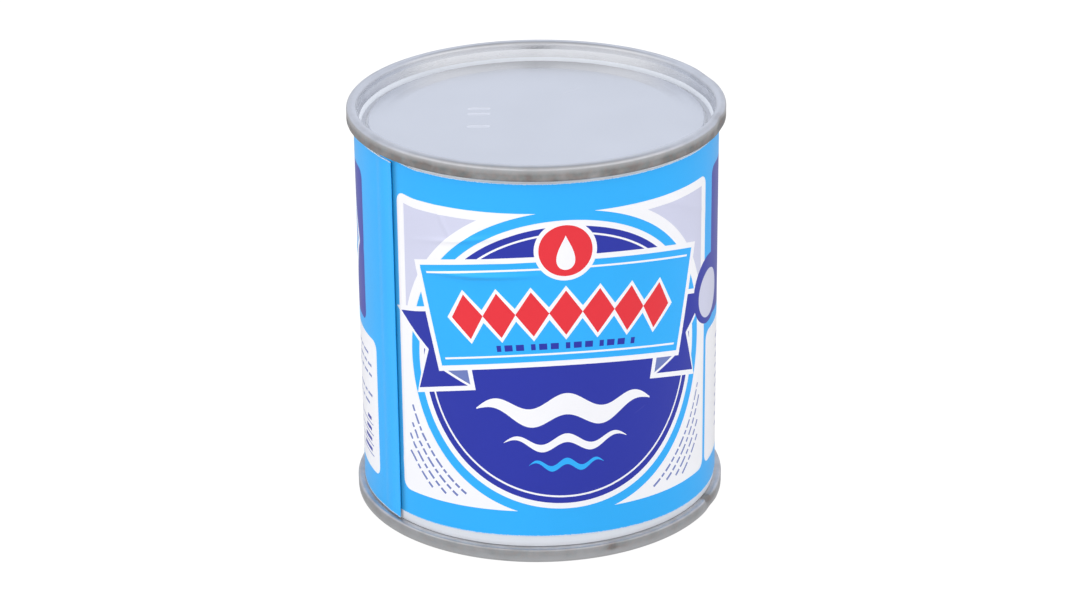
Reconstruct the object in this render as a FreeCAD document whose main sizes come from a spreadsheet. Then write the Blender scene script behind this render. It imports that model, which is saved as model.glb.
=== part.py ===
import FreeCAD, Part
import os
import Sketcher

# A three-piece food can, shut and full, with a paper wrap.
# The foot ring stands on z = 0, the can's axis is Z and the print faces -Y.

doc = FreeCAD.newDocument("MilkCan")

sizes = [
    ("canHeight", 84.5, "foot of the lower seam to the top of the upper seam"),
    ("seamRadius", 38.0, "outside of the double seam"),
    ("seamInnerRadius", 35.9, "inside of the double seam, at its crest"),
    ("chuckDepth", 1.6, "crest to the foot of the seam's straight inner wall"),
    ("seamDepth", 3.1, "length of the double seam along the can"),
    ("crestRound", 0.8, "rounding of the two crest corners of a seam"),
    ("curlRound", 0.35, "rounding where a seam tucks in against the shell"),
    ("shellRadius", 36.45, "outside of the shell between the seams"),
    ("plateGauge", 0.25, "thickness of the end plate"),
    ("sinkDepth", 4.2, "crest to the floor of the countersink"),
    ("sinkFootRadius", 35.3, "outer edge of the countersink's floor"),
    ("wallRadius", 35.8, "hidden side of the countersink's wall, where the seam ends"),
    ("sinkInnerRadius", 34.3, "inner edge of the countersink's floor"),
    ("panelRadius", 33.6, "edge of the end's flat panel"),
    ("panelDepth", 3.4, "crest to the panel"),
    ("beadRadius", 28.6, "edge of the raised middle of the panel"),
    ("beadRun", 2.4, "width of the step round the raised middle"),
    ("middleDepth", 3.25, "crest to the raised middle"),
    ("pressRound", 0.25, "rounding of the pressed steps"),
    ("barLength", 4.1, "length of a stamped bar"),
    ("barWidth", 1.0, "width of a stamped bar"),
    ("barHeight", 0.2, "rise of a stamped bar above the raised middle"),
    ("barAcross", -11.5, "middle of the bars along X"),
    ("farBarAlong", 4.0, "middle of the far bar along Y"),
    ("middleBarAlong", 0.9, "middle of the middle bar along Y"),
    ("nearBarAlong", -6.3, "middle of the near bar along Y"),
    ("paperGauge", 0.15, "thickness of the paper"),
    ("paperFoot", 4.2, "lower edge of the paper"),
    ("paperHead", 80.6, "upper edge of the paper"),
    ("lapStart", -146.5, "where the paper's second layer starts, round Z from +X, in degrees"),
    ("lapSweep", 6.5, "how far the second layer covers the first, in degrees"),
]

sheet = doc.addObject("Spreadsheet::Sheet", "Sizes")
for row, (alias, value, meaning) in enumerate(sizes, start=1):
    sheet.set(f"A{row}", meaning)
    sheet.set(f"B{row}", str(value))
    sheet.setAlias(f"B{row}", alias)
doc.recompute()


def size(text):
    """The expression of a length, with every alias of the sheet spelt out in full."""
    words = text.split()
    aliases = {alias for alias, value, meaning in sizes}
    return " ".join(f"Sizes.{word}" if word in aliases else word for word in words)


def originPlane(body, role):
    return next(item for item in body.Origin.OriginFeatures if item.Role == role)


def newBody(name):
    body = doc.addObject("PartDesign::Body", name)
    body.Label = name
    return body


def newSketch(body, name, role):
    sketch = body.newObject("Sketcher::SketchObject", name)
    sketch.AttachmentSupport = [(originPlane(body, role), "")]
    sketch.MapMode = "FlatFace"
    return sketch


def drawOutline(sketch, corners):
    """A closed outline of straight edges, with each corner held by the sheet."""
    places = []
    for across, along in corners:
        values = [float(sheet.evalExpression(size(text))) for text in (across, along)]
        places.append(FreeCAD.Vector(values[0], values[1], 0))
    first = sketch.GeometryCount
    last = first + len(places) - 1
    for index, place in enumerate(places):
        following = places[(index + 1) % len(places)]
        sketch.addGeometry(Part.LineSegment(place, following), False)
    for edge in range(first, last + 1):
        following = edge + 1 if edge < last else first
        sketch.addConstraint(Sketcher.Constraint("Coincident", edge, 2, following, 1))
    for edge, (across, along) in enumerate(corners, start=first):
        place = places[edge - first]
        for kind, axis, text, value in (("DistanceX", -2, across, place.x), ("DistanceY", -1, along, place.y)):
            if text == "0":
                sketch.addConstraint(Sketcher.Constraint("PointOnObject", edge, 1, axis))
                continue
            held = sketch.addConstraint(Sketcher.Constraint(kind, -1, 1, edge, 1, value))
            sketch.setExpression(f"Constraints[{held}]", size(text))


def turn(body, name, sketch, sweep="360"):
    """Turns a profile round Z, from +X towards +Y, through the given sweep in degrees."""
    feature = body.newObject("PartDesign::Revolution", name)
    feature.Profile = sketch
    feature.ReferenceAxis = (sketch, ["V_Axis"])
    feature.setExpression("Angle", size(sweep))
    sketch.Visibility = False
    doc.recompute()
    return feature


def roundRings(body, name, rings, radius):
    """Rounds the circular edges that lie at the given radii and heights."""
    base = body.Tip
    wanted = [[float(sheet.evalExpression(size(text))) for text in ring] for ring in rings]
    edges = []
    for number, edge in enumerate(base.Shape.Edges, start=1):
        if not isinstance(edge.Curve, Part.Circle):
            continue
        for across, height in wanted:
            if abs(edge.Curve.Radius - across) < 0.01 and abs(edge.Curve.Center.z - height) < 0.01:
                edges.append(f"Edge{number}")
    if len(edges) < len(rings):
        raise RuntimeError(f"{name}: an edge to round is missing")
    feature = body.newObject("PartDesign::Fillet", name)
    feature.Base = (base, edges)
    feature.setExpression("Radius", size(radius))
    doc.recompute()
    return feature


def innerFace(level):
    """The side of an end that faces the contents, from the axis out to the seam."""
    return [
        ("0", level("middleDepth + plateGauge")),
        ("beadRadius", level("middleDepth + plateGauge")),
        ("beadRadius + beadRun", level("panelDepth + plateGauge")),
        ("panelRadius - plateGauge / 2", level("panelDepth + plateGauge")),
        ("sinkInnerRadius - plateGauge / 2", level("sinkDepth + plateGauge")),
        ("sinkFootRadius + plateGauge / 2", level("sinkDepth + plateGauge")),
        ("wallRadius", level("seamDepth")),
    ]


def outerFace(level):
    """The side of an end that is seen, from the seam's crest in to the axis."""
    return [
        ("seamInnerRadius", level("0")),
        ("seamInnerRadius", level("chuckDepth")),
        ("sinkFootRadius", level("sinkDepth")),
        ("sinkInnerRadius", level("sinkDepth")),
        ("panelRadius", level("panelDepth")),
        ("beadRadius + beadRun", level("panelDepth")),
        ("beadRadius", level("middleDepth")),
        ("0", level("middleDepth")),
    ]


def belowTop(depth):
    return "canHeight" if depth == "0" else f"canHeight - ( {depth} )"


def aboveFoot(depth):
    return depth


def makeEnd(name, level):
    """An end plate with its countersink and the double seam that it forms with the shell."""
    body = newBody(name)
    sketch = newSketch(body, name + "Profile", "XZ_Plane")
    seam = [("seamRadius", level("seamDepth")), ("seamRadius", level("0"))]
    drawOutline(sketch, innerFace(level) + seam + outerFace(level))
    turn(body, name + "Turn", sketch)
    crest = [("seamRadius", level("0")), ("seamInnerRadius", level("0"))]
    roundRings(body, name + "Crest", crest, "crestRound")
    roundRings(body, name + "Curl", [("seamRadius", level("seamDepth"))], "curlRound")
    roundRings(body, name + "Press", outerFace(level)[2:7], "pressRound")
    return body


def makeLid():
    """The upper end, with three short bars stamped in its middle."""
    body = makeEnd("lid", belowTop)
    sketch = newSketch(body, "barOutlines", "XY_Plane")
    sketch.setExpression("AttachmentOffset.Base.z", size("canHeight - middleDepth"))
    left = "barAcross - barLength / 2"
    right = "barAcross + barLength / 2"
    for along in ("farBarAlong", "middleBarAlong", "nearBarAlong"):
        low = f"{along} - barWidth / 2"
        high = f"{along} + barWidth / 2"
        drawOutline(sketch, [(left, low), (right, low), (right, high), (left, high)])
    pad = body.newObject("PartDesign::Pad", "stampedBars")
    pad.Profile = sketch
    pad.setExpression("Length", size("barHeight"))
    sketch.Visibility = False
    doc.recompute()
    return body


def makeShell():
    """The shell and what fills it, as one shut solid between the two ends."""
    body = newBody("body")
    sketch = newSketch(body, "bodyProfile", "XZ_Plane")
    lower = innerFace(aboveFoot)
    upper = innerFace(belowTop)
    side = [("shellRadius", aboveFoot("seamDepth")), ("shellRadius", belowTop("seamDepth"))]
    drawOutline(sketch, lower + side + upper[::-1])
    turn(body, "bodyTurn", sketch)
    return body


def makeLabel():
    """The paper wrap: one turn round the shell and a narrow lap over its own start."""
    body = newBody("label")
    layers = [
        ("wrap", "shellRadius", "shellRadius + paperGauge", "360"),
        ("lap", "shellRadius + paperGauge / 2", "shellRadius + paperGauge * 2", "lapSweep"),
    ]
    for name, inner, outer, sweep in layers:
        sketch = newSketch(body, name + "Profile", "XZ_Plane")
        corners = [(inner, "paperFoot"), (outer, "paperFoot"), (outer, "paperHead"), (inner, "paperHead")]
        drawOutline(sketch, corners)
        turn(body, name + "Turn", sketch, sweep)
    toLap = FreeCAD.Rotation(FreeCAD.Vector(0, 0, 1), float(sheet.lapStart))
    body.Placement = FreeCAD.Placement(FreeCAD.Vector(0, 0, 0), toLap)
    return body


pieces = [makeShell(), makeEnd("base", aboveFoot), makeLid(), makeLabel()]
doc.recompute()

for item in doc.Objects:
    if "Invalid" in item.State or "Error" in item.State:
        raise RuntimeError(f"{item.Label} failed: {item.State}")
for piece in pieces:
    if piece.Shape.isNull() or not piece.Shape.isValid() or len(piece.Shape.Solids) != 1:
        raise RuntimeError(f"{piece.Label} is not one valid solid")

os.makedirs("parts", exist_ok=True)
for piece in pieces:
    box = piece.Shape.BoundBox
    print(piece.Label, round(piece.Shape.Volume), "mm3, z", round(box.ZMin, 2), "to", round(box.ZMax, 2))
    piece.Shape.exportStep(f"parts/{piece.Label}.step")
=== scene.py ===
# Condensed milk can: a shut tin with rolled seams and a glued paper wrap.
import math

import bpy
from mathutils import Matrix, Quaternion, Vector, noise
from mathutils.geometry import delaunay_2d_cdt


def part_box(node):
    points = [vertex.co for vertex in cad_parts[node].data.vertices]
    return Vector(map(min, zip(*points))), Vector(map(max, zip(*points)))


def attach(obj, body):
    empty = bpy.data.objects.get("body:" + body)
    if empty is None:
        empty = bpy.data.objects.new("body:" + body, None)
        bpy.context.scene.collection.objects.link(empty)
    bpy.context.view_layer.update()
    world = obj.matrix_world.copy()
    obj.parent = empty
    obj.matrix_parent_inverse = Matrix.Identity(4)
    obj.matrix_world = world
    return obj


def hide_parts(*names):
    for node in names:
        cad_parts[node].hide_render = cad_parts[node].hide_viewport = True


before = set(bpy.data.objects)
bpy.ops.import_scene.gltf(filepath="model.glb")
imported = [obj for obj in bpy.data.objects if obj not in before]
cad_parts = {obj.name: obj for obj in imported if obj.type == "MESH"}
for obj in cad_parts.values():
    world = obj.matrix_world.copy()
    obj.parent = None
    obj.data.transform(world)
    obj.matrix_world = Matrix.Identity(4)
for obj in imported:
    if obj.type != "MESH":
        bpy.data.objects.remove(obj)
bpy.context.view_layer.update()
scene = bpy.context.scene
scene.view_settings.view_transform = "Standard"
mm = 0.001

lidLow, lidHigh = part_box("lid")
baseLow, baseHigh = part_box("base")
bodyLow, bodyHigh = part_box("body")
canHeight = lidHigh.z - baseLow.z
seamRadius = (lidHigh.x - lidLow.x) / 2
shellRadius = (bodyHigh.x - bodyLow.x) / 2
print("frame loaded")


# short ways to add objects and nodes

def addObject(name, data):
    item = bpy.data.objects.new(name, data)
    scene.collection.objects.link(item)
    return item


def clearTree(owner):
    owner.use_nodes = True
    owner.node_tree.nodes.clear()
    return owner.node_tree


def addNode(tree, kind, place, feeds=None, **settings):
    # feeds names each input, with its value or the output that it is linked to
    node = tree.nodes.new(kind)
    node.location = place
    for name, value in settings.items():
        setattr(node, name, value)
    for name, value in (feeds or {}).items():
        if isinstance(value, bpy.types.NodeSocket):
            tree.links.new(value, node.inputs[name])
        else:
            node.inputs[name].default_value = value
    return node


def maths(tree, operation, place, *values, **settings):
    feeds = dict(enumerate(values))
    return addNode(tree, "ShaderNodeMath", place, feeds, operation=operation, **settings).outputs[0]


def scaled(tree, place, socket, factor, offset=0.0):
    return maths(tree, "MULTIPLY_ADD", place, socket, factor, offset)


def summed(tree, place, first, second):
    return maths(tree, "ADD", place, first, second)


def ranged(tree, place, value, fromLow, fromHigh, toLow=0.0, toHigh=1.0):
    feeds = {"Value": value, "From Min": fromLow, "From Max": fromHigh, "To Min": toLow, "To Max": toHigh}
    return addNode(tree, "ShaderNodeMapRange", place, feeds).outputs["Result"]


def mixed(tree, place, share, under, over, blend="MIX"):
    feeds = {"Factor": share, 6: under, 7: over}
    return addNode(tree, "ShaderNodeMix", place, feeds, data_type="RGBA", blend_type=blend).outputs[2]


def shaded(tree, place, colour, level):
    # the colour made darker or lighter by a level about 1
    feeds = {0: level, 1: level, 2: level}
    grey = addNode(tree, "ShaderNodeCombineColor", (place[0] - 200, place[1] - 100), feeds)
    return mixed(tree, place, 1.0, colour, grey.outputs[0], "MULTIPLY")


def cloudy(tree, place, vector, seed, scale, detail):
    feeds = {"Vector": vector, "W": seed, "Scale": scale, "Detail": detail}
    return addNode(tree, "ShaderNodeTexNoise", place, feeds, noise_dimensions="4D").outputs


# camera, light and floor

viewSetup = {
    "distance": 0.659,
    "elevation": math.radians(23.2),
    "roll": math.radians(0.61),
    "lens": 108.5,
    "aimAcross": -0.00104,
    "aimUp": -0.00126,
}

lightSetup = {
    "front": (1.04, 1.05, 1.08, 1),    # what reflections see on the camera's side
    "behind": (0.765, 0.81, 0.92, 1),  # and beyond the object
    "turn": 0.25,                      # how softly one becomes the other
    "overhead": 0.56,                  # share of that left above it
    "overheadLean": math.radians(10),
    "overheadFrom": math.radians(36),
    "overheadFull": math.radians(62),
    "ambient": 0.80,                   # what the object is lit by
    "lamps": {
        "key": {"place": (0.80, -0.85, 0.65), "size": 0.9, "power": 6.6},
        "fill": {"place": (-1.0, -0.45, 0.40), "size": 0.8, "power": 5.6},
        "rear": {"place": (0.1, 0.9, 0.9), "size": 0.8, "power": 2.0},
    },
}

floorSetup = {
    "size": 6.0,
    "tone": 0.5,
    "shadow": 0.20,       # share of the floor's white that a shadow can take
    "glow": 1.2,          # the floor as the camera sees it
    "mirrored": 0.52,     # and as metal mirrors it
    "mirrorShare": 0.65,
}
cardSetup = {"away": 0.80, "wide": 0.36, "tall": 0.19, "height": 0.43, "tone": 0.02, "corners": 32}


def makeCamera():
    data = bpy.data.cameras.new("viewCamera")
    data.lens = viewSetup["lens"]
    data.sensor_width = 36
    data.clip_start = 0.02
    camera = addObject("viewCamera", data)
    tilt = viewSetup["elevation"]
    centre = Vector((0, 0, canHeight / 2))
    away = Vector((0, -math.cos(tilt), math.sin(tilt)))
    up = Vector((0, math.sin(tilt), math.cos(tilt)))
    camera.location = centre + away * viewSetup["distance"]
    target = centre + Vector((viewSetup["aimAcross"], 0, 0)) + up * viewSetup["aimUp"]
    turned = (target - camera.location).to_track_quat("-Z", "Y")
    camera.rotation_mode = "QUATERNION"
    camera.rotation_quaternion = turned @ Quaternion((0, 0, 1), -viewSetup["roll"])
    scene.camera = camera


def seenDirectly(tree):
    # 1 for camera, glossy and transmission rays
    path = addNode(tree, "ShaderNodeLightPath", (-800, 200)).outputs
    first = maths(tree, "MAXIMUM", (-600, 200), path["Is Camera Ray"], path["Is Glossy Ray"])
    return maths(tree, "MAXIMUM", (-450, 200), first, path["Is Transmission Ray"])


def makeWorld():
    s = lightSetup
    scene.world = bpy.data.worlds.new("studio")
    tree = clearTree(scene.world)
    direction = addNode(tree, "ShaderNodeTexCoord", (-1100, -200)).outputs["Generated"]
    zenith = (0, -math.sin(s["overheadLean"]), math.cos(s["overheadLean"]))
    height = addNode(tree, "ShaderNodeVectorMath", (-900, -200), {0: direction, 1: zenith},
                     operation="DOT_PRODUCT")
    low, high = math.sin(s["overheadFrom"]), math.sin(s["overheadFull"])
    overhead = ranged(tree, (-700, -200), height.outputs["Value"], low, high, 1.0, s["overhead"])
    side = addNode(tree, "ShaderNodeSeparateXYZ", (-900, -450), {0: direction})
    turned = ranged(tree, (-700, -450), side.outputs["Y"], -s["turn"], s["turn"])
    around = mixed(tree, (-500, -450), turned, s["front"], s["behind"])
    path = addNode(tree, "ShaderNodeLightPath", (-700, 500)).outputs
    colour = mixed(tree, (-300, -450), path["Is Camera Ray"], around, (1, 1, 1, 1))
    ambient = addNode(tree, "ShaderNodeBackground", (-250, 100), {
        "Color": (1, 1, 1, 1), "Strength": s["ambient"]})
    backdrop = addNode(tree, "ShaderNodeBackground", (-250, -50), {"Color": colour, "Strength": overhead})
    feeds = {0: seenDirectly(tree), 1: ambient.outputs[0], 2: backdrop.outputs[0]}
    mix = addNode(tree, "ShaderNodeMixShader", (0, 100), feeds)
    addNode(tree, "ShaderNodeOutputWorld", (200, 100), {"Surface": mix.outputs[0]})


def makeLamp(name, setup):
    data = bpy.data.lights.new(name, "AREA")
    data.shape = "DISK"
    data.size = setup["size"]
    data.energy = setup["power"]
    lamp = addObject(name, data)
    lamp.location = setup["place"]
    towards = Vector((0, 0, canHeight / 2)) - lamp.location
    lamp.rotation_mode = "QUATERNION"
    lamp.rotation_quaternion = towards.to_track_quat("-Z", "Y")
    lamp.visible_glossy = False  # the backdrop is what the metal shows


def stagePiece(name, materialName, corners, tone):
    # one flat face with a plain grey; gives the piece, its tree and the grey
    mesh = bpy.data.meshes.new(name)
    mesh.from_pydata(corners, [], [tuple(range(len(corners)))])
    piece = addObject(name, mesh)
    material = bpy.data.materials.new(materialName)
    mesh.materials.append(material)
    tree = clearTree(material)
    grey = addNode(tree, "ShaderNodeBsdfDiffuse", (-200, 0), {"Color": (tone, tone, tone, 1)})
    return piece, tree, grey.outputs[0]


def makeFloor():
    s = floorSetup
    half = s["size"] / 2
    corners = [(-half, -half, 0), (half, -half, 0), (half, half, 0), (-half, half, 0)]
    floor, tree, grey = stagePiece("floor", "paleFloor", corners, s["tone"])
    path = addNode(tree, "ShaderNodeLightPath", (-900, 200)).outputs
    bright = ranged(tree, (-600, -150), path["Is Camera Ray"], 0.0, 1.0, s["mirrored"], s["glow"])
    glow = addNode(tree, "ShaderNodeEmission", (-200, -150), {"Color": (1, 1, 1, 1), "Strength": bright})
    inMirror = maths(tree, "MULTIPLY", (-600, 50), path["Is Glossy Ray"], s["mirrorShare"])
    share = scaled(tree, (-400, 200), path["Is Camera Ray"], 1 - s["shadow"], inMirror)
    mix = addNode(tree, "ShaderNodeMixShader", (0, 0), {0: share, 1: grey, 2: glow.outputs[0]})
    addNode(tree, "ShaderNodeOutputMaterial", (200, 0), {"Surface": mix.outputs[0]})


def makeCard():
    # a dark card behind the camera, which only reflections see
    s = cardSetup
    corners = []
    for step in range(s["corners"]):
        turn = 2 * math.pi * step / s["corners"]
        up = s["height"] + math.sin(turn) * s["tall"] / 2
        corners.append((math.cos(turn) * s["wide"] / 2, -s["away"], up))
    card, tree, grey = stagePiece("darkCard", "darkCard", corners, s["tone"])
    card.visible_camera = False
    card.visible_diffuse = False
    card.visible_shadow = False
    addNode(tree, "ShaderNodeOutputMaterial", (0, 0), {"Surface": grey})


makeCamera()
makeWorld()
for lampName, lampSetup in lightSetup["lamps"].items():
    makeLamp(lampName, lampSetup)
makeFloor()
makeCard()
print("camera, light and floor done")


# shader groups shared by the materials

def ink(red, green, blue):
    # a screen colour as the linear colour that a shader takes
    def linear(value):
        share = value / 255
        return share / 12.92 if share <= 0.04045 else ((share + 0.055) / 1.055) ** 2.4
    return (linear(red), linear(green), linear(blue), 1)


def newGroup(name, inputs, outputs):
    tree = bpy.data.node_groups.new(name, "ShaderNodeTree")
    tree.interface.new_socket("Vector", in_out="INPUT", socket_type="NodeSocketVector")
    for label, value in inputs.items():
        socket = tree.interface.new_socket(label, in_out="INPUT", socket_type="NodeSocketFloat")
        socket.default_value = value
    for label in outputs:
        tree.interface.new_socket(label, in_out="OUTPUT", socket_type="NodeSocketFloat")
    start = addNode(tree, "NodeGroupInput", (-900, 0)).outputs
    end = addNode(tree, "NodeGroupOutput", (900, 0)).inputs
    return tree, start, end


def makeMottle():
    # slow cloudy change over a surface, and a fine grain, both from -1 to 1
    inputs = {"Cloud Scale": 60.0, "Grain Scale": 2500.0, "Seed": 0.0}
    tree, start, end = newGroup("mottle", inputs, ["Cloud", "Grain"])
    for row, (label, detail) in enumerate((("Cloud", 4.0), ("Grain", 2.0))):
        scale = start[label + " Scale"]
        texture = cloudy(tree, (-300, -300 * row), start["Vector"], start["Seed"], scale, detail)
        spread = ranged(tree, (100, -300 * row), texture["Fac"], 0.25, 0.75, -1.0, 1.0)
        tree.links.new(spread, end[label])
    return tree


def makeRubs():
    # sparse hair-thin rub lines, broken up so that no two are alike
    inputs = {"Scale": 90.0, "Width": 0.02, "Amount": 0.5, "Seed": 0.0}
    tree, start, end = newGroup("rubs", inputs, ["Mask"])
    vector, seed = start["Vector"], start["Seed"]
    warp = cloudy(tree, (-650, -250), vector, seed, 35.0, 1.0)
    feeds = {0: warp["Color"], 1: (0.012, 0.012, 0.012), 2: vector}
    sway = addNode(tree, "ShaderNodeVectorMath", (-450, -200), feeds, operation="MULTIPLY_ADD")
    feeds = {"Vector": sway.outputs[0], "W": seed, "Scale": start["Scale"]}
    cells = addNode(tree, "ShaderNodeTexVoronoi", (-250, 0), feeds,
                    voronoi_dimensions="4D", feature="DISTANCE_TO_EDGE")
    line = ranged(tree, (0, 0), cells.outputs["Distance"], 0.0, start["Width"], 1.0, 0.0)
    patches = cloudy(tree, (-250, -350), vector, seed, 55.0, 3.0)
    lowest = ranged(tree, (0, -550), start["Amount"], 0.0, 1.0, 0.75, 0.40)
    highest = summed(tree, (200, -550), lowest, 0.12)
    keep = ranged(tree, (400, -300), patches["Fac"], lowest, highest)
    tree.links.new(maths(tree, "MULTIPLY", (650, 0), line, keep), end["Mask"])
    return tree


mottleGroup = makeMottle()
rubsGroup = makeRubs()


def placeGroup(tree, group, place, feeds):
    return addNode(tree, "ShaderNodeGroup", place, feeds, node_tree=group).outputs


def finishMaterial(tree, feeds, height, strength, distance):
    bump = addNode(tree, "ShaderNodeBump", (350, -350), {
        "Height": height, "Strength": strength, "Distance": distance})
    shader = addNode(tree, "ShaderNodeBsdfPrincipled", (600, 0), dict(feeds, Normal=bump.outputs[0]))
    addNode(tree, "ShaderNodeOutputMaterial", (900, 0), {"Surface": shader.outputs[0]})


# tinplate

tinSetup = {
    "clean": ink(233, 234, 237),
    # brown and grey for grime, which also serve as painted shade in the hollows
    "grimeAndShade": (ink(122, 88, 62), ink(70, 84, 74)),
    "grimeAndShadeShare": 0.60,
    "grimeAndShadeScale": 230.0,
    "metallic": 1.0,
    "roughness": 0.23,
    "roughSpread": 0.03,
    "cloudScale": 70.0,
    "rollScale": (60.0, 1500.0, 1500.0),  # the plate's rolling lines run along X
    "rubScale": 110.0,
    "rubRoughness": 0.22,
}
shellTinSetup = dict(tinSetup, clean=ink(244, 248, 255), grimeAndShadeShare=0.15, metallic=0.35, roughness=0.42)
# the bars' tin is a lighter copy of the ends' tin: a painted highlight on the stamped bars
barTinHighlitSetup = dict(tinSetup, clean=ink(250, 250, 252))


def makeTin(name, seed, setup):
    material = bpy.data.materials.new(name)
    tree = clearTree(material)
    place = addNode(tree, "ShaderNodeTexCoord", (-1200, 0)).outputs["Object"]
    mottle = placeGroup(tree, mottleGroup, (-700, 200), {
        "Vector": place, "Cloud Scale": setup["cloudScale"], "Grain Scale": 3000.0, "Seed": seed})
    rubs = placeGroup(tree, rubsGroup, (-700, -100), {
        "Vector": place, "Scale": setup["rubScale"], "Width": 0.010, "Amount": 0.3, "Seed": seed})
    stains = placeGroup(tree, mottleGroup, (-950, 700), {
        "Vector": place, "Cloud Scale": setup["grimeAndShadeScale"], "Grain Scale": 900.0, "Seed": seed + 1.5})
    rolling = addNode(tree, "ShaderNodeMapping", (-950, -400), {"Vector": place, "Scale": setup["rollScale"]})
    lines = addNode(tree, "ShaderNodeTexNoise", (-700, -400), {
        "Vector": rolling.outputs[0], "Scale": 1.0, "Detail": 3.0})
    # grime, and painted shade in recesses and along the seams' outer sides, darken the tin where the mesh's
    # hollow attribute marks it
    hollow = addNode(tree, "ShaderNodeAttribute", (-700, 500), attribute_name="hollow").outputs["Fac"]
    patchy = scaled(tree, (-450, 400), stains["Cloud"], 0.42, 0.95)
    grimeAndShade = maths(tree, "MULTIPLY", (-250, 450), hollow, patchy, use_clamp=True)
    share = scaled(tree, (-50, 450), grimeAndShade, setup["grimeAndShadeShare"])
    bare = shaded(tree, (0, 250), setup["clean"], scaled(tree, (-400, 150), mottle["Cloud"], 0.03, 0.965))
    brown, grey = setup["grimeAndShade"]
    grimeAndShadeTone = mixed(tree, (0, 600), scaled(tree, (-250, 650), stains["Grain"], 0.9, 0.5), brown, grey)
    rough = scaled(tree, (-400, -50), mottle["Cloud"], setup["roughSpread"], setup["roughness"])
    rubbed = scaled(tree, (-400, -200), rubs["Mask"], setup["rubRoughness"])
    dull = scaled(tree, (0, -150), share, 0.8)
    feeds = {
        "Base Color": mixed(tree, (250, 250), share, bare, grimeAndShadeTone),
        "Metallic": setup["metallic"],
        "Roughness": summed(tree, (100, -50), summed(tree, (-100, -50), rough, rubbed), dull),
    }
    rolled = scaled(tree, (-300, -350), lines.outputs["Fac"], 0.35)
    scored = summed(tree, (0, -400), rolled, scaled(tree, (-300, -500), rubs["Mask"], -0.8))
    height = summed(tree, (150, -450), scored, scaled(tree, (-300, -650), mottle["Cloud"], 3.0))
    finishMaterial(tree, feeds, height, 0.35, 0.00002)
    return material


endTin = makeTin("endTin", 3.0, tinSetup)
shellTin = makeTin("shellTin", 8.0, shellTinSetup)
barTinHighlit = makeTin("barTinHighlit", 3.0, barTinHighlitSetup)
print("tinplate done")


# printed paper

paperSetup = {
    "inks": {
        "sky": ink(44, 178, 255),
        "navy": ink(38, 50, 166),
        "white": ink(249, 249, 254),
        "red": ink(233, 48, 60),
        "lilac": ink(211, 213, 236),
        "slate": ink(112, 128, 190),
    },
    "stock": ink(236, 236, 238),
    "roughness": 0.33,
    "wornEdge": 0.22,  # mm of print rubbed off along a cut edge
}


def makePaper(name, colour):
    material = bpy.data.materials.new(name)
    tree = clearTree(material)
    place = addNode(tree, "ShaderNodeTexCoord", (-1200, 0)).outputs["Object"]
    mottle = placeGroup(tree, mottleGroup, (-800, 150), {
        "Vector": place, "Cloud Scale": 55.0, "Grain Scale": 4200.0, "Seed": 21.0})
    rubs = placeGroup(tree, rubsGroup, (-800, -150), {
        "Vector": place, "Scale": 70.0, "Width": 0.010, "Amount": 0.25, "Seed": 5.0})
    # ink density wanders a little, and the fibres show through as a finer change
    wander = scaled(tree, (-500, 250), mottle["Cloud"], 0.018, 0.985)
    fibres = scaled(tree, (-500, 100), mottle["Grain"], 0.012)
    # painted shadow beside the lap's free edge, and a painted highlight on its raised edge, darken and
    # lighten the paper
    glue = addNode(tree, "ShaderNodeAttribute", (-500, -20), attribute_name="lapShade").outputs["Fac"]
    paintedLapShade = scaled(tree, (-350, 0), glue, -1.0)
    level = summed(tree, (-250, 200), summed(tree, (-300, 200), wander, fibres), paintedLapShade)
    tint = shaded(tree, (0, 200), colour, level)
    edge = addNode(tree, "ShaderNodeAttribute", (-500, 450), attribute_name="fromEdge").outputs["Fac"]
    reach = summed(tree, (-150, 500), edge, scaled(tree, (-300, 500), mottle["Grain"], 0.12))
    wornEdge = paperSetup["wornEdge"]
    bare = ranged(tree, (0, 500), reach, wornEdge * 0.5, wornEdge, 0.75, 0.0)
    rubbed = maths(tree, "MAXIMUM", (200, 550), bare, scaled(tree, (0, 650), rubs["Mask"], 0.22))
    rough = scaled(tree, (-300, -50), mottle["Cloud"], 0.05, paperSetup["roughness"])
    feeds = {
        "Base Color": mixed(tree, (300, 250), rubbed, tint, paperSetup["stock"]),
        "Roughness": summed(tree, (0, -100), rough, scaled(tree, (-300, -200), rubs["Mask"], 0.2)),
        "IOR": 1.46,
    }
    grain = scaled(tree, (-300, -350), mottle["Grain"], 0.5)
    height = summed(tree, (0, -350), grain, scaled(tree, (-300, -500), mottle["Cloud"], 2.0))
    finishMaterial(tree, feeds, height, 0.25, 0.00003)
    return material


inkNames = list(paperSetup["inks"])
inkMaterials = [makePaper(name + "Ink", paperSetup["inks"][name]) for name in inkNames]
paperStock = makePaper("paperStock", paperSetup["stock"])
print("paper and inks done")


# the rolled ends and the shell, each a profile turned round the can's axis

endSetup = {
    "steps": 360,
    "seamDepth": 3.1,
    "seamInner": 35.9,
    "chuckDepth": 1.6,
    "wallRadius": 35.8,
    "crestRound": 0.8,
    "curlRound": 0.45,
    "sinkDepth": 4.2,
    "sinkFoot": 35.3,
    "sinkInner": 34.3,
    "panelRadius": 33.6,
    "panelDepth": 3.4,
    "beadRadius": 28.6,
    "beadRun": 2.4,
    "beadRound": 1.5,
    "middleDepth": 3.25,
    "pressRound": 0.28,
    "gauge": 0.25,
    "spacing": 1.3,
    "ripple": 0.045,
}


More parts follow.
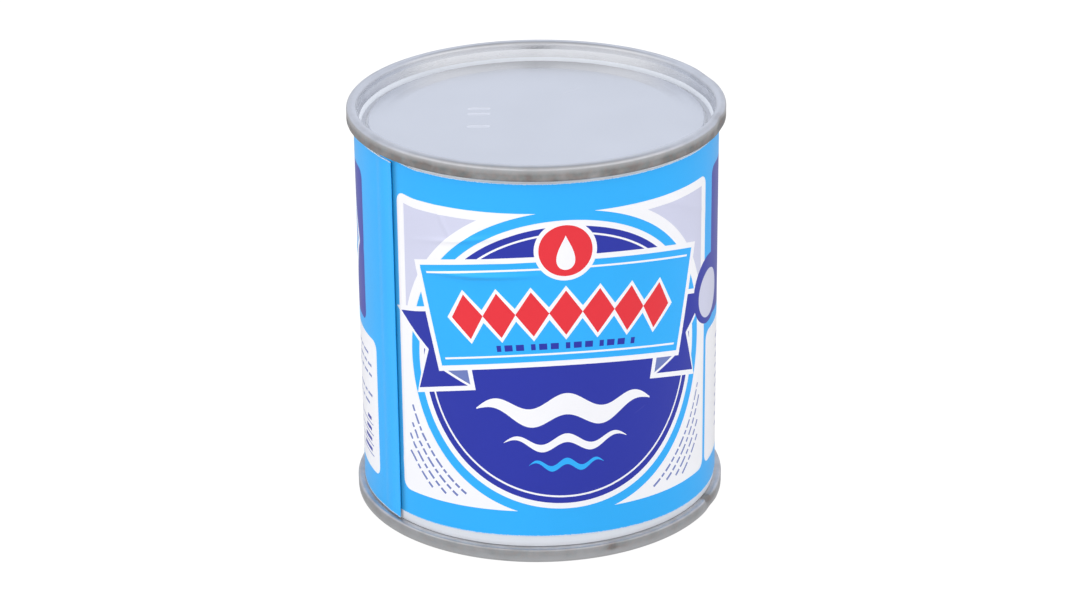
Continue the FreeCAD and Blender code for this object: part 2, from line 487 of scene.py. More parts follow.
def filleted(corners, spacing):
    # corners are (across, up, round, hollow); gives points along the outline, rounded and evenly filled
    points = []
    last = len(corners) - 1
    for index, (across, up, rounding, hollow) in enumerate(corners):
        here = Vector((across, up))
        if index in (0, last) or rounding == 0:
            points.append((here, hollow))
            continue
        before = Vector(corners[index - 1][:2]) - here
        after = Vector(corners[index + 1][:2]) - here
        half = before.angle(after) / 2
        reach = min(rounding / math.tan(half), before.length * 0.49, after.length * 0.49)
        radius = reach * math.tan(half)
        inward = (before.normalized() + after.normalized()).normalized()
        middle = here + inward * (radius / math.sin(half))
        first = here + before.normalized() * reach - middle
        second = here + after.normalized() * reach - middle
        start = math.atan2(first.y, first.x)
        sweep = (math.atan2(second.y, second.x) - start + math.pi) % (2 * math.pi) - math.pi
        count = max(3, math.ceil(abs(sweep) / math.radians(14)))
        for step in range(count + 1):
            turn = start + sweep * step / count
            points.append((middle + Vector((math.cos(turn), math.sin(turn))) * radius, hollow))
    filled = [points[0]]
    for (start, startHollow), (end, endHollow) in zip(points, points[1:]):
        length = (end - start).length
        if length < 1e-6:
            continue
        near = min(0.12, length / 3)
        parts = max(1, math.ceil((length - 2 * near) / spacing))
        if length > 0.5:
            marks = [near + (length - 2 * near) * part / parts for part in range(parts)] + [length - near]
            for share in (mark / length for mark in marks):
                filled.append((start.lerp(end, share), startHollow + (endHollow - startHollow) * share))
        filled.append((end, endHollow))
    return filled


def endCorners():
    # from the axis on the hidden side, out under the seam, over its crest and back; up is a depth
    s = endSetup
    gauge, seam = s["gauge"], seamRadius / mm
    bead = s["beadRadius"] + s["beadRun"]
    # the last number is how much the tin darkens there: grime, with painted shade in the recesses and on the
    # seam's outer side
    return [
        (0.0, s["middleDepth"] + gauge, 0, 0),
        (s["beadRadius"], s["middleDepth"] + gauge, 0, 0),
        (bead, s["panelDepth"] + gauge, 0, 0),
        (s["panelRadius"] - gauge / 2, s["panelDepth"] + gauge, 0, 0),
        (s["sinkInner"] - gauge / 2, s["sinkDepth"] + gauge, 0, 0),
        (s["sinkFoot"] + gauge / 2, s["sinkDepth"] + gauge, 0, 0),
        (s["wallRadius"], s["seamDepth"] - 0.1, 0, 0.6),
        (shellRadius / mm - 0.02, s["seamDepth"] - 0.1, 0, 0.9),
        (seam, s["seamDepth"], s["curlRound"], 0.95),
        (seam - 0.02, s["seamDepth"] * 0.55, 0, 0.9),
        (seam, 0.0, s["crestRound"], 0.30),
        (s["seamInner"], 0.0, s["crestRound"], 0.16),
        (s["seamInner"], s["chuckDepth"], 0.5, 0.0),
        (s["sinkFoot"], s["sinkDepth"], s["pressRound"], 0.2),
        (s["sinkInner"], s["sinkDepth"], s["pressRound"], 0.2),
        (s["panelRadius"], s["panelDepth"], s["pressRound"], 0.02),
        (bead, s["panelDepth"], s["beadRound"], 0.0),
        (s["beadRadius"], s["middleDepth"], s["beadRound"], 0.0),
        (0.0, s["middleDepth"], 0, 0),
    ]


def makeTurnTree():
    # turns a profile round Z: each point of the profile becomes a ring
    tree = bpy.data.node_groups.new("turnProfile", "GeometryNodeTree")
    sockets = {
        "Geometry": "Geometry", "Steps": "Int", "Ripple": "Float", "Seed": "Float", "Material": "Material",
    }
    for label, kind in sockets.items():
        tree.interface.new_socket(label, in_out="INPUT", socket_type="NodeSocket" + kind)
    tree.interface.new_socket("Geometry", in_out="OUTPUT", socket_type="NodeSocketGeometry")
    start = addNode(tree, "NodeGroupInput", (-1400, 0)).outputs
    profile = start["Geometry"]

    size = addNode(tree, "GeometryNodeAttributeDomainSize", (-1150, 200), {0: profile}, component="MESH")
    points = size.outputs["Point Count"]
    grid = addNode(tree, "GeometryNodeMeshGrid", (-650, 300), {
        "Size X": 1.0, "Size Y": 1.0, "Vertices Y": points,
        "Vertices X": summed(tree, (-900, 350), start["Steps"], 1)})
    spot = addNode(tree, "GeometryNodeInputPosition", (-1100, -100)).outputs[0]
    place = addNode(tree, "ShaderNodeSeparateXYZ", (-900, -100), {0: spot}).outputs
    turn = maths(tree, "MULTIPLY", (-500, -50), summed(tree, (-700, -50), place["X"], 0.5), 2 * math.pi)
    gaps = maths(tree, "SUBTRACT", (-700, -400), points, 1)
    along = maths(tree, "MULTIPLY", (-500, -250), summed(tree, (-700, -250), place["Y"], 0.5), gaps)
    index = maths(tree, "ROUND", (-300, -250), along)

    def sampled(kind, value, down):
        feeds = {"Geometry": profile, "Value": value, "Index": index}
        node = addNode(tree, "GeometryNodeSampleIndex", (0, down), feeds, data_type=kind, domain="POINT")
        return node.outputs[0]

    def named(name, down):
        node = addNode(tree, "GeometryNodeInputNamedAttribute", (-250, down), {"Name": name},
                       data_type="FLOAT")
        return sampled("FLOAT", node.outputs["Attribute"], down)

    give = named("give", -650)
    hollow = named("hollow", -900)
    spot = addNode(tree, "GeometryNodeInputPosition", (-250, -400)).outputs[0]
    ringPlace = sampled("FLOAT_VECTOR", spot, -400)
    ring = addNode(tree, "ShaderNodeSeparateXYZ", (250, -400), {0: ringPlace}).outputs
    cosine = maths(tree, "COSINE", (-300, 50), turn)
    sine = maths(tree, "SINE", (-300, 150), turn)
    around = addNode(tree, "ShaderNodeCombineXYZ", (250, 100), {
        "X": cosine, "Y": sine, "Z": maths(tree, "MULTIPLY", (250, -150), ring["Z"], 40.0)})
    wobble = cloudy(tree, (450, 100), around.outputs[0], start["Seed"], 4.0, 3.0)
    centred = maths(tree, "SUBTRACT", (650, 100), wobble["Fac"], 0.5)
    shift = maths(tree, "MULTIPLY", (850, 150), centred, start["Ripple"])
    radius = summed(tree, (1000, -200), ring["X"], maths(tree, "MULTIPLY", (850, 0), shift, give))
    final = addNode(tree, "ShaderNodeCombineXYZ", (1200, -100), {
        "X": maths(tree, "MULTIPLY", (1100, 0), radius, cosine),
        "Y": maths(tree, "MULTIPLY", (1100, -200), radius, sine),
        "Z": ring["Z"]})
    feeds = {"Geometry": grid.outputs["Mesh"], "Name": "hollow", "Value": hollow}
    store = addNode(tree, "GeometryNodeStoreNamedAttribute", (1150, 300), feeds,
                    data_type="FLOAT", domain="POINT")
    feeds = {"Geometry": store.outputs[0], "Position": final.outputs[0]}
    moved = addNode(tree, "GeometryNodeSetPosition", (1350, 200), feeds)
    feeds = {"Geometry": moved.outputs[0], "Distance": 0.000002}
    merged = addNode(tree, "GeometryNodeMergeByDistance", (1500, 200), feeds)
    smooth = addNode(tree, "GeometryNodeSetShadeSmooth", (1600, 200), {"Geometry": merged.outputs[0]})
    real = addNode(tree, "GeometryNodeRealizeInstances", (1650, 50), {0: smooth.outputs[0]})
    feeds = {"Geometry": real.outputs[0], "Material": start["Material"]}
    painted = addNode(tree, "GeometryNodeSetMaterial", (1700, -100), feeds)
    addNode(tree, "NodeGroupOutput", (1800, 0), {"Geometry": painted.outputs[0]})
    return tree


turnTree = makeTurnTree()


def setInput(modifier, name, value):
    for item in modifier.node_group.interface.items_tree:
        if item.item_type == "SOCKET" and item.in_out == "INPUT" and item.name == name:
            modifier[item.identifier] = value


def evaluatedMesh(holder, name):
    # the modifier's result as a plain mesh on an object of its own
    bpy.context.view_layer.update()
    graph = bpy.context.evaluated_depsgraph_get()
    mesh = bpy.data.meshes.new_from_object(holder.evaluated_get(graph))
    mesh.name = name
    old = holder.data
    bpy.data.objects.remove(holder)
    bpy.data.meshes.remove(old)
    return addObject(name, mesh)


def turnOutwards(mesh):
    # turns every face round if the closed mesh is inside out
    volume = 0.0
    for face in mesh.polygons:
        corners = [mesh.vertices[v].co for v in face.vertices]
        for second, third in zip(corners[1:], corners[2:]):
            volume += corners[0].dot(second.cross(third))
    if volume < 0:
        mesh.flip_normals()


def addValues(mesh, label, values):
    mesh.attributes.new(label, "FLOAT", "POINT").data.foreach_set("value", values)


def turnedPiece(name, profile, material, ripple, seed):
    # profile is (across, up, give, hollow) in mm
    mesh = bpy.data.meshes.new(name + "Profile")
    places = [(across * mm, 0, up * mm) for across, up, give, hollow in profile]
    mesh.from_pydata(places, [(k, k + 1) for k in range(len(places) - 1)], [])
    addValues(mesh, "give", [row[2] for row in profile])
    addValues(mesh, "hollow", [row[3] for row in profile])
    holder = addObject(name + "Holder", mesh)
    modifier = holder.modifiers.new("turn", "NODES")
    modifier.node_group = turnTree
    setInput(modifier, "Steps", endSetup["steps"])
    setInput(modifier, "Ripple", ripple * mm)
    setInput(modifier, "Seed", seed)
    setInput(modifier, "Material", material)
    piece = evaluatedMesh(holder, name)
    turnOutwards(piece.data)
    return piece


def makeEnd(name, level, seed, grimeAndShadeLevel):
    # level turns a depth below the crest into a height; only the rim gives
    profile = []
    for point, hollow in filleted(endCorners(), endSetup["spacing"]):
        give = min(1.0, max(0.0, (point.x - 35.0) / 2.5))
        # each end's darkening, grime with painted shade, is scaled by a level of its own
        profile.append((point.x, level(point.y), give, hollow * grimeAndShadeLevel))
    return turnedPiece(name, profile, endTin, endSetup["ripple"], seed)


shellSetup = {
    "ripple": 0.03,
    "give": 0.3,
    "grimeAndShadeReach": 0.9,  # how far the seams' grime and painted shade come out along the wall
    "rows": 30,
    "fine": (0.15, 0.3, 0.5, 0.9, 1.4),  # extra rows beside each seam
}


def makeShell():
    s = shellSetup
    low = endSetup["seamDepth"] - 0.05
    high = canHeight / mm - low
    middle = endSetup["middleDepth"] + endSetup["gauge"] + 0.05
    plug = [(0, middle), (30, middle), (35.0, 4.5), (35.6, low)]
    heights = [low + (high - low) * row / s["rows"] for row in range(s["rows"] + 1)]
    heights += [low + gap for gap in s["fine"]] + [high - gap for gap in s["fine"]]
    profile = [(across, up, 0, 0) for across, up in plug]
    for up in sorted(heights):
        # the wall darkens next to the seams: grime with painted shade
        grimeAndShade = max(0.0, 1 - min(up - low, high - up) / s["grimeAndShadeReach"])
        profile.append((shellRadius / mm, up, s["give"], grimeAndShade))
    profile += [(across, canHeight / mm - up, 0, 0) for across, up in reversed(plug)]
    return turnedPiece("shell", profile, shellTin, s["ripple"], 11.0)


lidPiece = makeEnd("lidEnd", lambda depth: canHeight / mm - depth, 2.0, 1.0)
basePiece = makeEnd("baseEnd", lambda depth: depth, 6.0, 0.55)
shellPiece = makeShell()
print("ends and shell done")


# dents and stamped bars of the ends

dentSetup = {
    # angle from the front, height above the foot, width, height, push, and how much the dent darkens the tin;
    # lengths in mm
    "lidEnd": [
        (74.0, 83.4, 5.0, 3.0, -0.35, 0.3),
        (112.0, 83.6, 7.0, 3.0, -0.30, 0.1),
        (-34.0, 82.6, 4.0, 1.6, -0.16, 0.3),
        (18.0, 82.0, 3.0, 1.4, -0.12, 0.2),
    ],
    "baseEnd": [
        (65.5, 3.0, 1.7, 1.8, -1.05, 1.6),
        (68.0, 1.4, 4.6, 3.4, -0.30, 0.3),
        (22.5, 2.0, 3.4, 1.6, -0.10, 0.8),
        (-12.0, 1.2, 5.0, 1.6, -0.15, 0.2),
    ],
    "deep": 3.0,
}


def pressDents(piece):
    mesh = piece.data
    hollow = mesh.attributes["hollow"].data
    for angle, height, wide, tall, push, grimeAndShade in dentSetup[piece.name]:
        turn = math.radians(angle)
        outward = Vector((math.sin(turn), -math.cos(turn), 0))
        sideways = Vector((-outward.y, outward.x, 0))
        centre = outward * seamRadius + Vector((0, 0, height * mm))
        for vertex in mesh.vertices:
            offset = vertex.co - centre
            across = offset.dot(sideways) / (wide * mm / 2)
            upward = offset.z / (tall * mm / 2)
            inward = offset.dot(outward) / (dentSetup["deep"] * mm)
            reach = across * across + upward * upward + inward * inward
            if reach < 6:
                vertex.co += outward * push * mm * math.exp(-reach)
                hollow[vertex.index].value += grimeAndShade * math.exp(-reach)


pressDents(lidPiece)
pressDents(basePiece)

barSetup = {
    "length": 4.1,
    "width": 1.0,
    "rise": 0.14,
    "sunk": 0.01,     # how far the rim lies under the panel
    "soft": 0.4,
    "columns": 44,
    "rows": 14,
    "places": ((-11.5, 4.0), (-11.5, 0.9), (-11.5, -6.3)),  # middle of each bar
}


def addBars(piece):
    # shallow raised bars, each a small pillow whose rim sinks just under the panel
    s = barSetup
    level = canHeight / mm - endSetup["middleDepth"]
    longHalf, wideHalf, soft = s["length"] / 2, s["width"] / 2, s["soft"]
    columns, rows = s["columns"], s["rows"]
    places, faces = [], []
    for centreX, centreY in s["places"]:
        first = len(places)
        for row in range(rows + 1):
            for column in range(columns + 1):
                x = (column / columns * 2 - 1) * (longHalf + soft)
                y = (row / rows * 2 - 1) * (wideHalf + soft)
                gap = math.hypot(max(abs(x) - longHalf + wideHalf, 0), y) - wideHalf
                share = min(1.0, max(0.0, 0.5 - gap / (2 * soft)))
                rise = share * share * (3 - 2 * share) * (s["rise"] + s["sunk"]) - s["sunk"]
                places.append(((centreX + x) * mm, (centreY + y) * mm, (level + rise) * mm))
        for row in range(rows):
            for column in range(columns):
                corner = first + row * (columns + 1) + column
                faces.append((corner, corner + 1, corner + columns + 2, corner + columns + 1))
        rim = [first + column for column in range(columns + 1)]
        rim += [first + row * (columns + 1) + columns for row in range(1, rows + 1)]
        rim += [first + rows * (columns + 1) + column for column in range(columns - 1, -1, -1)]
        rim += [first + row * (columns + 1) for row in range(rows - 1, 0, -1)]
        faces.append(tuple(reversed(rim)))
    mesh = bpy.data.meshes.new("bars")
    mesh.from_pydata(places, [], faces)
    mesh.polygons.foreach_set("use_smooth", [True] * len(faces))
    mesh.materials.append(barTinHighlit)
    both = [piece, addObject("bars", mesh)]
    with bpy.context.temp_override(active_object=piece, object=piece, selected_editable_objects=both):
        bpy.ops.object.join()


addBars(lidPiece)
print("dents and bars done")


# the printed wrap, drawn flat in mm and then wrapped round the shell

wrapSetup = {
    "gauge": 0.13,
    "start": -56.5,     # where the sheet starts, degrees from the front
    "lap": 6.5,         # degrees that the end covers the start
    "tall": 75.6,
    # heights of the sheet's edges, each at an angle from the front
    "foot": ((-56.5, 4.95), (-46, 4.95), (0, 5.35), (62, 4.45), (180, 4.2), (310, 3.35)),
    "head": (
        (-56.5, 81.1), (-48.5, 81.1), (-40, 80.55), (0, 80.65), (90, 80.4), (180, 80.2), (310, 80.5),
    ),
    "glue": 0.05,
    "columns": 189,
    "rows": 30,
    "fineFromStart": (3.7, 4.0, 4.2, 4.4, 4.65, 4.9, 5.2, 5.6, 6.2),
    "fineFromEnd": (0.15, 0.4, 0.8, 1.2, 1.8, 2.6, 3.4),
    "front": 8.5,       # middle of the front panel, degrees from the front
}
wrapRadius = shellRadius / mm + 0.15
sheetLong = math.radians(360 + wrapSetup["lap"]) * wrapRadius
sheetTall = wrapSetup["tall"]
lapLong = math.radians(wrapSetup["lap"]) * wrapRadius
panelWide = 2 * math.pi * wrapRadius / 3
frontMiddle = math.radians(wrapSetup["front"] - wrapSetup["start"]) * wrapRadius
fields = []  # (number of the ink, outline) in painting order


def paint(name, outline, across=0.0):
    # outlines all run the same way round, as the cut needs
    outline = [(x + across, y) for x, y in outline]
    turning = sum(a[0] * b[1] - a[1] * b[0] for a, b in zip(outline, outline[1:] + outline[:1]))
    fields.append((inkNames.index(name), outline if turning > 0 else outline[::-1]))


def onCircle(centre, radius, turn):
    return (centre[0] + radius * math.cos(turn), centre[1] + radius * math.sin(turn))


def arc(centre, radius, start, stop, gap=0.6):
    first, span = math.radians(start), math.radians(stop - start)
    count = max(4, math.ceil(abs(span) * radius / gap))
    return [onCircle(centre, radius, first + span * step / count) for step in range(count + 1)]


def disc(centre, radius):
    return arc(centre, radius, 0, 360)[:-1]


def bow(centre, inner, outer, start, stop):
    # a stretch of a ring
    return arc(centre, outer, start, stop) + arc(centre, inner, stop, start)


def box(left, low, right, high, corner=0.0):
    if corner == 0:
        return [(left, low), (right, low), (right, high), (left, high)]
    points = arc((right - corner, low + corner), corner, -90, 0)
    points += arc((right - corner, high - corner), corner, 0, 90)
    points += arc((left + corner, high - corner), corner, 90, 180)
    points += arc((left + corner, low + corner), corner, 180, 270)
    return points


def lozenge(centre, wide, tall, lean=0.0):
    corners = [(0, -tall / 2), (wide / 2, 0), (0, tall / 2), (-wide / 2, 0)]
    cosine, sine = math.cos(math.radians(lean)), math.sin(math.radians(lean))
    return [(centre[0] + x * cosine - y * sine, centre[1] + x * sine + y * cosine) for x, y in corners]


def drop(centre, size, wide=0.72, count=48):
    points = []
    for step in range(count):
        turn = 2 * math.pi * step / count
        across = math.sin(turn) * math.sin(turn / 2) ** 1.4 * size * wide
        points.append((centre[0] - across, centre[1] + math.cos(turn) * size))
    return points


def wave(centre, long, swing, thick, crests=2.5, count=60):
    upper, lower = [], []
    for step in range(count + 1):
        share = step / count
        x = centre[0] + (share - 0.5) * long
        y = centre[1] + swing * math.sin(share * crests * 2 * math.pi)
        half = thick / 2 * max(0.02, math.sin(math.pi * share)) ** 0.7
        upper.append((x, y + half))
        lower.append((x, y - half))
    return lower + upper[::-1]


frontSetup = {
    "halfWide": 36.2,
    "low": 5.6,
    "high": 69.4,
    "round": 2.0,
    "middle": (0.0, 37.0),
    "tintRadius": 35.1,
    "tintGap": 1.9,
    "rings": (("sky", 32.9), ("white", 30.9), ("navy", 29.7), ("white", 28.4), ("navy", 28.0)),
    "bandCentre": (0.0, -71.0),
    "bandInner": 109.5,
    "bandOuter": 130.5,
    "bandHalf": 13.4,    # degrees from the middle to the ribbon's end
    "tailReach": 17.2,   # and to the tips of its tails
    "tailRoot": 3.4,     # how far the tails start behind its end
    "rowRadius": 119.6,
    "rowCount": 7,
    "rowStep": 3.15,
    "badge": (0.0, 61.6),
    # height, length, swing and thickness of each milk wave
    "waves": (
        ("white", 27.6, 36.0, 1.5, 4.6), ("white", 20.6, 25.0, 1.1, 1.9), ("sky", 15.8, 15.0, 0.8, 1.4),
    ),
    "ruleWides": (2.2, 3.6, 1.5, 2.9, 1.9),
}


def paintRibbon(at):
    # an arched ribbon with a light border, its folded tails behind it
    s = frontSetup
    centre, inner, outer, reach = s["bandCentre"], s["bandInner"], s["bandOuter"], s["bandHalf"]
    root = reach - s["tailRoot"]

    def onBow(lean, radius):
        return onCircle(centre, radius, math.radians(90 - lean))

    for side in (-1, 1):
        for name, grow in (("white", 1.0), ("navy", 0.0)):
            tip = s["tailReach"] + math.degrees(grow / 120)
            low, high = inner - 4.4 - grow, inner + 11.4 + grow
            edge = [root + (tip - root) * step / 8 for step in range(9)]
            tail = [(lean, low) for lean in edge] + [(tip - 2.6, (low + high) / 2)]
            tail += [(lean, high) for lean in reversed(edge)]
            paint(name, [onBow(side * lean, radius) for lean, radius in tail], at)
        for name, trim, low in (("white", 0.0, 5.4), ("slate", 0.5, 4.2)):
            fold = ((reach - trim, 1.0), (root + trim, 1.0), (root + trim, low))
            paint(name, [onBow(side * lean, inner - down) for lean, down in fold], at)
    for name, grow in (("white", 1.1), ("sky", 0.0)):
        turn = reach + math.degrees(grow / 120)
        paint(name, bow(centre, inner - grow, outer + grow, 90 - turn, 90 + turn), at)
    for radius in (inner + 1.3, outer - 1.7):
        paint("white", bow(centre, radius, radius + 0.4, 90 - reach + 0.6, 90 + reach - 0.6), at)
    # a row of red lozenges in light outlines, over a row of short bars
    for grow, name in ((1.0, "white"), (0.0, "red")):
        for number in range(s["rowCount"]):
            lean = (number - (s["rowCount"] - 1) / 2) * s["rowStep"]
            place = onBow(lean, s["rowRadius"])
            paint(name, lozenge(place, 6.6 + grow * 2, 9.4 + grow * 2, -lean), at)
    for number in range(13):
        start = 90 + (number - 6) * 1.15 - 0.4
        wide = 0.8 if number % 3 else 0.45
        paint("navy", bow(centre, 112.0, 113.3, start, start + wide), at)


def paintCornerRules(at, start):
    # fine rules in a lower corner, where they fit
    s = frontSetup
    for row in range(4):
        radius = 35.0 + row * 1.75
        turn = start + row * 1.3
        number = row
        while turn < start + 40:
            wide = s["ruleWides"][number % 5]
            points = bow(s["middle"], radius, radius + 0.5, turn, turn + wide)
            if all(abs(x) < s["halfWide"] - 1.6 and y > s["low"] + 1.6 for x, y in points):
                paint("slate", points, at)
            turn += wide + 0.8
            number += 1


def paintFront(at):
    s = frontSetup
    half = s["halfWide"]
    paint("white", box(-half, s["low"], half, s["high"], s["round"]), at)
    # tinted fields inside the upper corners
    radius, edge = s["tintRadius"], half - s["tintGap"]
    top = s["high"] - s["tintGap"] - s["middle"][1]
    first = math.degrees(math.atan2(top, math.sqrt(radius ** 2 - top ** 2)))
    last = math.degrees(math.atan2(math.sqrt(radius ** 2 - edge ** 2), edge))
    corner = [(edge, top)] + arc((0, 0), radius, first, last)
    for side in (-1, 1):
        paint("lilac", [(side * x, y + s["middle"][1]) for x, y in corner], at)
    for name, radius in s["rings"]:
        paint(name, disc(s["middle"], radius), at)
    paintRibbon(at)
    # a red disc with a light drop, and milk waves
    paint("white", disc(s["badge"], 6.2), at)
    paint("red", disc(s["badge"], 5.3), at)
    paint("white", drop((0.0, s["badge"][1] - 0.4), 3.6), at)
    for name, up, long, swing, thick in s["waves"]:
        paint(name, wave((0.0, up), long, swing, thick), at)
    paintCornerRules(at, 200)
    paintCornerRules(at, 300)


sideSetup = {
    "navy": (37.5, 69.4),    # foot and head of the dark field
    "white": (5.6, 35.0),    # and of the light one under it, for small print
    "round": 2.0,
    "middle": 53.4,
    "ruleStep": 2.2,
    "ruleTall": 0.55,
    "ruleWides": (2.6, 4.1, 1.7, 3.3, 2.1),
}


def paintField(at, name, left, right):
    low, high = sideSetup[name]
    paint(name, box(left, low, right, high, sideSetup["round"]), at)


def paintRules(at, left, right, high, low, seed):
    # short bars in lines, as small print reads from a distance
    s = sideSetup
    line, up = 0, high
    while up > low:
        x, number = left, seed + line
        stop = right if line % 4 != 3 else left + (right - left) * 0.6
        while x < stop - 1.2:
            wide = min(s["ruleWides"][number % 5], stop - x)
            paint("slate", box(x, up, x + wide, up + s["ruleTall"]), at)
            x += wide + 0.8
            number += 1
        up -= s["ruleStep"]
        line += 1


def paintRight(at):
    half = 36.6
    paintField(at, "navy", -half, half)
    paintField(at, "white", -half - 2.7, half)
    for across, size in ((-6.0, 11.5), (17.0, 8.0)):
        centre = (across, sideSetup["middle"])
        paint("white", disc(centre, size + 1.0), at)
        paint("sky", disc(centre, size), at)
        paint("white", drop((across, centre[1] - size * 0.12), size * 0.62), at)
    paintRules(at, -31.0, 31.0, 30.2, 8.5, 1)
    paint("navy", disc((-38.0, 44.2), 7.3), at)
    paint("lilac", disc((-38.0, 43.2), 5.1), at)


def paintBack(at):
    left, right = -34.0, 31.0
    paintField(at, "navy", left, 25.5)
    for number in range(4):
        place = (left + 9.5 + number * 13.5, sideSetup["middle"])
        for name, wide, tall in (("white", 12.0, 22.0), ("sky", 9.0, 17.0), ("red", 4.0, 7.6)):
            paint(name, lozenge(place, wide, tall), at)
    paintField(at, "white", left, right)
    paintRules(at, left + 3.5, right - 3.0, 30.6, 17.5, 3)
    for row in range(4):
        up = 8.6 + row * 2.3
        paint("slate", box(left + 3.5, up, right - 3.0, up + 0.25), at)
        paint("navy", box(left + 3.5, up + 0.8, left + 13.0 - row, up + 1.6), at)
        paint("navy", box(right - 9.5 + row, up + 0.8, right - 4.0, up + 1.6), at)


paint("sky", box(-1, -1, sheetLong + 1, sheetTall + 1))
paintBack(frontMiddle + 2 * panelWide)
paintFront(frontMiddle)
paintRight(frontMiddle + panelWide)
print("print laid out,", len(fields), "fields")

creaseSetup = {
    "far": 20,    # past this a crease lifts nothing
    "cuts": 6,    # cuts on each side of its line
    "marks": [
        # across from the front panel's middle, height, lean in degrees, length, width, rise; mm
        (-17.5, 55.8, 4.0, 9.0, 0.6, 0.40),
        (-20.0, 63.0, 10.0, 8.0, 0.6, 0.26),
        (-24.5, 66.0, -62.0, 4.5, 0.6, 0.13),
        (-14.0, 59.5, -8.0, 6.0, 0.8, 0.12),
        (-33.0, 16.0, 55.0, 7.0, 0.8, 0.12),
        (27.0, 66.0, -24.0, 8.0, 0.9, 0.12),
        (31.0, 22.0, 68.0, 7.0, 0.8, 0.10),
        (90.0, 30.0, 75.0, 12.0, 1.0, 0.13),
        (165.0, 48.0, 20.0, 14.0, 1.1, 0.13),
    ],
}


def smoothStep(value, low, high):
    share = min(1.0, max(0.0, (value - low) / (high - low)))
    return share * share * (3 - 2 * share)


def sheetRise(u, v):
    # how far the paper stands off its plain cylinder, in mm
    fromEnd = sheetLong - u
    fromRim = min(v, sheetTall - v)
    lapFoot = sheetLong - lapLong
    rise = (wrapSetup["gauge"] + wrapSetup["glue"]) * smoothStep(u, lapFoot - 1.6, lapFoot)
    loose = 0.5 + 0.5 * noise.noise((u * 0.05, v * 0.11, 7.0))
    rise += 0.20 * math.exp(-((fromEnd / 1.1) ** 2)) * (0.35 + loose)
    rise += 0.12 * math.exp(-((fromEnd / 3.0) ** 2) - ((v / 2.6) ** 2))
    rise += 0.07 * math.exp(-((fromRim / 1.6) ** 2)) * (0.5 + noise.noise((u * 0.09, v * 0.02, 1.0)))
    rise += 0.035 * noise.noise((u * 0.045, v * 0.035, 3.0))
    rise += 0.012 * noise.noise((u * 0.22, v * 0.10, 5.0))
    for across, up, lean, long, wide, height in creaseSetup["marks"]:
        x, y = u - frontMiddle - across, v - up
        if max(abs(x), abs(y)) > creaseSetup["far"]:
            continue
        turn = math.radians(lean)
        along = (x * math.cos(turn) + y * math.sin(turn)) / long
        aside = (y * math.cos(turn) - x * math.sin(turn)) / wide
        rise += height * math.exp(-along * along - aside * aside)
    return max(rise, -0.01)


def edgeHeight(table, degrees):
    # the height between the two marks that the angle lies between
    for (before, low), (after, high) in zip(table, table[1:]):
        if degrees <= after:
            return low + (high - low) * smoothStep(degrees, before, after)
    return table[-1][1]


def wrapPoint(u, v, inside=0.0):
    turn = math.radians(wrapSetup["start"]) + u / wrapRadius
    foot = edgeHeight(wrapSetup["foot"], math.degrees(turn))
    head = edgeHeight(wrapSetup["head"], math.degrees(turn))
    up = foot + (head - foot) * v / sheetTall
    radius = wrapRadius + sheetRise(u, v) - inside
    return Vector((radius * math.sin(turn), -radius * math.cos(turn), up)) * mm


def wrapNormal(u, v):
    step = 0.05
    here = wrapPoint(u, v)
    return (wrapPoint(u + step, v) - here).cross(wrapPoint(u, v + step) - here).normalized()


def cutSheet():
    # splits the flat sheet along every field's outline and a grid that lets it bend
    s = wrapSetup
    places, edges, outlines = [], [], []

    def cut(start, stop):
        places.extend((start, stop))
        edges.append((len(places) - 2, len(places) - 1))

    acrosses = [sheetLong * column / s["columns"] for column in range(s["columns"] + 1)]
    acrosses += list(s["fineFromStart"]) + [sheetLong - gap for gap in s["fineFromEnd"]]
    for u in acrosses:
        cut((u, 0.0), (u, sheetTall))
    for row in range(s["rows"] + 1):
        v = sheetTall * row / s["rows"]
        cut((0.0, v), (sheetLong, v))
    for across, up, lean, long, wide, height in creaseSetup["marks"]:
        turn = math.radians(lean)
        for row in range(-creaseSetup["cuts"], creaseSetup["cuts"] + 1):
            side = wide * row / 3
            x, y = frontMiddle + across - side * math.sin(turn), up + side * math.cos(turn)
            cut(*[(x + math.cos(turn) * long * way, y + math.sin(turn) * long * way) for way in (-1.6, 1.6)])
    for number, outline in fields:
        outlines.append(list(range(len(places), len(places) + len(outline))))
        places += outline
    flat = [Vector(place) for place in places]
    points, lines, triangles, *sources = delaunay_2d_cdt(flat, edges, outlines, 0, 1e-5)
    inside = 1e-4
    chosen, inks = [], []
    for triangle, owners in zip(triangles, sources[-1]):
        middle = (points[triangle[0]] + points[triangle[1]] + points[triangle[2]]) / 3
        if inside < middle.x < sheetLong - inside and inside < middle.y < sheetTall - inside:
            chosen.append(tuple(triangle))
            inks.append(fields[max(owners)][0])
    return points, chosen, inks


def lapShade(u):
    # painted shadow beside the lap's free edge, and a little painted highlight on the raised edge itself
    past = u - lapLong
    shade = 0.42 * math.exp(-(((past - 0.45) / 0.75) ** 2)) if past > -1.0 else 0.0
    return shade - 0.06 * (1 - smoothStep(sheetLong - u, 2.0, 3.4))


def mapSpot(u, v, middle):
    # the outer side in three strips, each in a quarter of the map
    strip = min(2, int(3 * middle / sheetLong))
    across = (u * 3 / sheetLong - strip) * 0.485 + 0.0075
    up = v / sheetTall * 0.485 + 0.0075
    return (across + 0.5 * (strip % 2), up + 0.5 * (strip // 2))


def hiddenSpot(u, v):
    # the glued side in part of the fourth quarter
    return (0.51 + u / sheetLong * 0.48, 0.51 + v / sheetTall * 0.40)


def rimSpot(u, v, inner):
    # the cut edges in a band of their own for each side of the sheet
    if min(v, sheetTall - v) < 0.001:
        along, band = u / sheetLong, 0 if v < 1 else 1
    else:
        along, band = v / sheetTall, 2 if u < 1 else 3
    return (0.51 + along * 0.48, 0.925 + band * 0.018 + inner * 0.012)


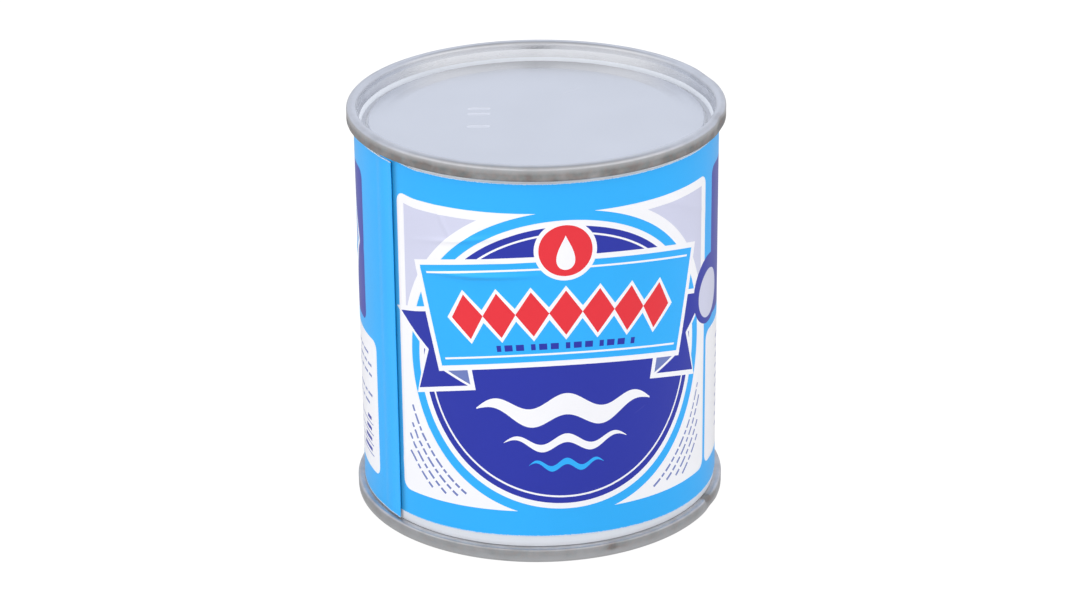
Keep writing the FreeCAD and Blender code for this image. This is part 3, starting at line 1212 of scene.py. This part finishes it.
def makeWrap():
    points, triangles, inks = cutSheet()
    used = sorted({corner for triangle in triangles for corner in triangle})
    order = {corner: number for number, corner in enumerate(used)}
    flat = [(points[corner].x, points[corner].y) for corner in used]
    outer = [wrapPoint(u, v) for u, v in flat]
    inner = [wrapPoint(u, v, wrapSetup["gauge"]) for u, v in flat]
    normals = [wrapNormal(u, v) for u, v in flat]
    count, plain = len(outer), len(inkNames)  # plain is the unprinted paper's slot
    faces, slots, corners, spots = [], [], [], []
    rimSides = {}
    for triangle, inkNumber in zip(triangles, inks):
        face = tuple(order[corner] for corner in triangle)
        middle = sum(flat[corner][0] for corner in face) / 3
        faces.append(face)
        slots.append(inkNumber)
        corners += [normals[corner] for corner in face]
        spots += [mapSpot(*flat[corner], middle) for corner in face]
        for start, stop in zip(face, face[1:] + face[:1]):
            if (stop, start) in rimSides:
                del rimSides[(stop, start)]
            else:
                rimSides[(start, stop)] = inkNumber
    for face in list(faces):
        faces.append(tuple(corner + count for corner in reversed(face)))
        slots.append(plain)
        corners += [-normals[corner] for corner in reversed(face)]
        spots += [hiddenSpot(*flat[corner]) for corner in reversed(face)]
    for (start, stop), inkNumber in rimSides.items():
        first, last = flat[start], flat[stop]
        faces.append((start, start + count, stop + count, stop))
        atLap = min(first[0], last[0]) > sheetLong - 0.001
        slots.append(inkNumber if atLap else plain)
        corners += [(outer[stop] - outer[start]).cross(normals[start]).normalized()] * 4
        spots += [rimSpot(*first, 0), rimSpot(*first, 1), rimSpot(*last, 1), rimSpot(*last, 0)]
    mesh = bpy.data.meshes.new("wrap")
    mesh.from_pydata(outer + inner, [], faces)
    for material in inkMaterials + [paperStock]:
        mesh.materials.append(material)
    mesh.polygons.foreach_set("material_index", slots)
    mesh.polygons.foreach_set("use_smooth", [True] * len(faces))
    mesh.normals_split_custom_set([tuple(normal) for normal in corners])
    bakeMap = mesh.uv_layers.new(name="OFBake")
    bakeMap.data.foreach_set("uv", [value for spot in spots for value in spot])
    addValues(mesh, "fromEdge", [min(v, sheetTall - v) for u, v in flat] * 2)
    addValues(mesh, "lapShade", [lapShade(u) for u, v in flat] * 2)
    print("wrap has", len(faces), "faces")
    return addObject("wrap", mesh)


wrapPiece = makeWrap()
print("wrap done")


# hand over

for piece, node, slot in (
    (lidPiece, "lid", "end_tin"),
    (basePiece, "base", "end_tin"),
    (shellPiece, "body", "shell_tin"),
    (wrapPiece, "label", "printed_paper"),
):
    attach(piece, "root")
    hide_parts(node)

print("pieces handed over")
